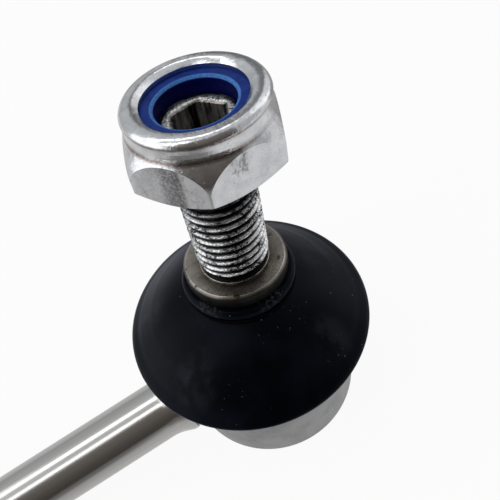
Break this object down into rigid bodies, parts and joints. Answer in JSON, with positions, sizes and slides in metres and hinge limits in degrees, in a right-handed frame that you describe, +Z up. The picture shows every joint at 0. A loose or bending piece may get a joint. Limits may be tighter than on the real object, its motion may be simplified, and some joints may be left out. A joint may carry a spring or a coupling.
{
  "type": "stabilizer link",
  "caption": "Straight suspension link: a round rod with a sealed ball joint at each end, its threaded stud carrying a wrench collar, a rubber boot and a nylon lock nut.",
  "frame": {"origin": "middle of the near housing's foot", "axes": "+Z up along the housing's axis towards the stud, -X along the rod towards the far housing"},
  "size_m": [0.2972, 0.0369, 0.0609],
  "materials": {
    "rod_steel": "bright zinc",
    "weld_steel": "as welded",
    "housing_steel": "satin zinc",
    "cap_steel": "satin zinc",
    "seat_plastic": "natural",
    "stud_steel": "phosphated, bright on the thread",
    "boot_rubber": "satin",
    "ring_steel": "black oxide",
    "nut_steel": "bright zinc",
    "insert_nylon": "satin"
  },
  "bodies": {
    "link": {"link_rod": "rod_steel", "near_weld": "weld_steel", "near_housing": "housing_steel", "near_cap": "cap_steel", "near_seat": "seat_plastic", "far_weld": "weld_steel", "far_housing": "housing_steel", "far_cap": "cap_steel", "far_seat": "seat_plastic"},
    "near_boot_foot": {"near_boot": "boot_rubber", "near_lower_ring": "ring_steel"},
    "near_boot_neck": {"near_upper_ring": "ring_steel"},
    "near_ball_stud": {"near_stud": "stud_steel"},
    "near_nut_ring": {"near_insert": "insert_nylon"},
    "near_nut_body": {"near_nut": "nut_steel"},
    "far_boot_foot": {"far_boot": "boot_rubber", "far_lower_ring": "ring_steel"},
    "far_boot_neck": {"far_upper_ring": "ring_steel"},
    "far_ball_stud": {"far_stud": "stud_steel"},
    "far_nut_ring": {"far_insert": "insert_nylon"},
    "far_nut_body": {"far_nut": "nut_steel"}
  },
  "joints": [
    {"name": "near_turn", "type": "hinge", "parent": "link", "child": "near_boot_foot", "pos_m": [0, 0, 0.0115], "axis": [0, 0, 1], "continuous": true},
    {"name": "near_swing", "type": "hinge", "parent": "near_boot_foot", "child": "near_boot_neck", "pos_m": [0, 0, 0.0115], "axis": [-0.4067, 0.9135, 0], "range_deg": [-30, 14], "deforming": ["near_boot"]},
    {"name": "near_spin", "type": "hinge", "parent": "near_boot_neck", "child": "near_ball_stud", "pos_m": [0, 0, 0.0115], "axis": [0.1271, 0.0566, 0.9903], "continuous": true},
    {"name": "near_nut_travel", "type": "slide", "parent": "near_ball_stud", "child": "near_nut_ring", "axis": [0.1271, 0.0566, 0.9903], "range_m": [-0.0177, 0.025], "deforming": ["near_insert"]},
    {"name": "near_nut_spin", "type": "hinge", "parent": "near_nut_ring", "child": "near_nut_body", "pos_m": [0.00512, 0.00228, 0.05141], "axis": [0.1271, 0.0566, 0.9903], "range_deg": [-5098.6, 7201]},
    {"name": "far_turn", "type": "hinge", "parent": "link", "child": "far_boot_foot", "pos_m": [-0.26, 0, 0.0115], "axis": [0, 0, 1], "continuous": true},
    {"name": "far_swing", "type": "hinge", "parent": "far_boot_foot", "child": "far_boot_neck", "pos_m": [-0.26, 0, 0.0115], "axis": [0, 1, 0], "range_deg": [-22, 22], "deforming": ["far_boot"]},
    {"name": "far_spin", "type": "hinge", "parent": "far_boot_neck", "child": "far_ball_stud", "pos_m": [-0.26, 0, 0.0115], "axis": [0, 0, 1], "continuous": true},
    {"name": "far_nut_travel", "type": "slide", "parent": "far_ball_stud", "child": "far_nut_ring", "axis": [0, 0, 1], "range_m": [-0.0177, 0.025], "deforming": ["far_insert"]},
    {"name": "far_nut_spin", "type": "hinge", "parent": "far_nut_ring", "child": "far_nut_body", "pos_m": [-0.26, 0, 0.0518], "axis": [0, 0, 1], "range_deg": [-5098.6, 7201]}
  ],
  "couplings": [
    {"joint": "near_nut_spin", "follows": "near_nut_travel", "rad_per_m": 5026.5},
    {"joint": "far_nut_spin", "follows": "far_nut_travel", "rad_per_m": 5026.5}
  ]
}
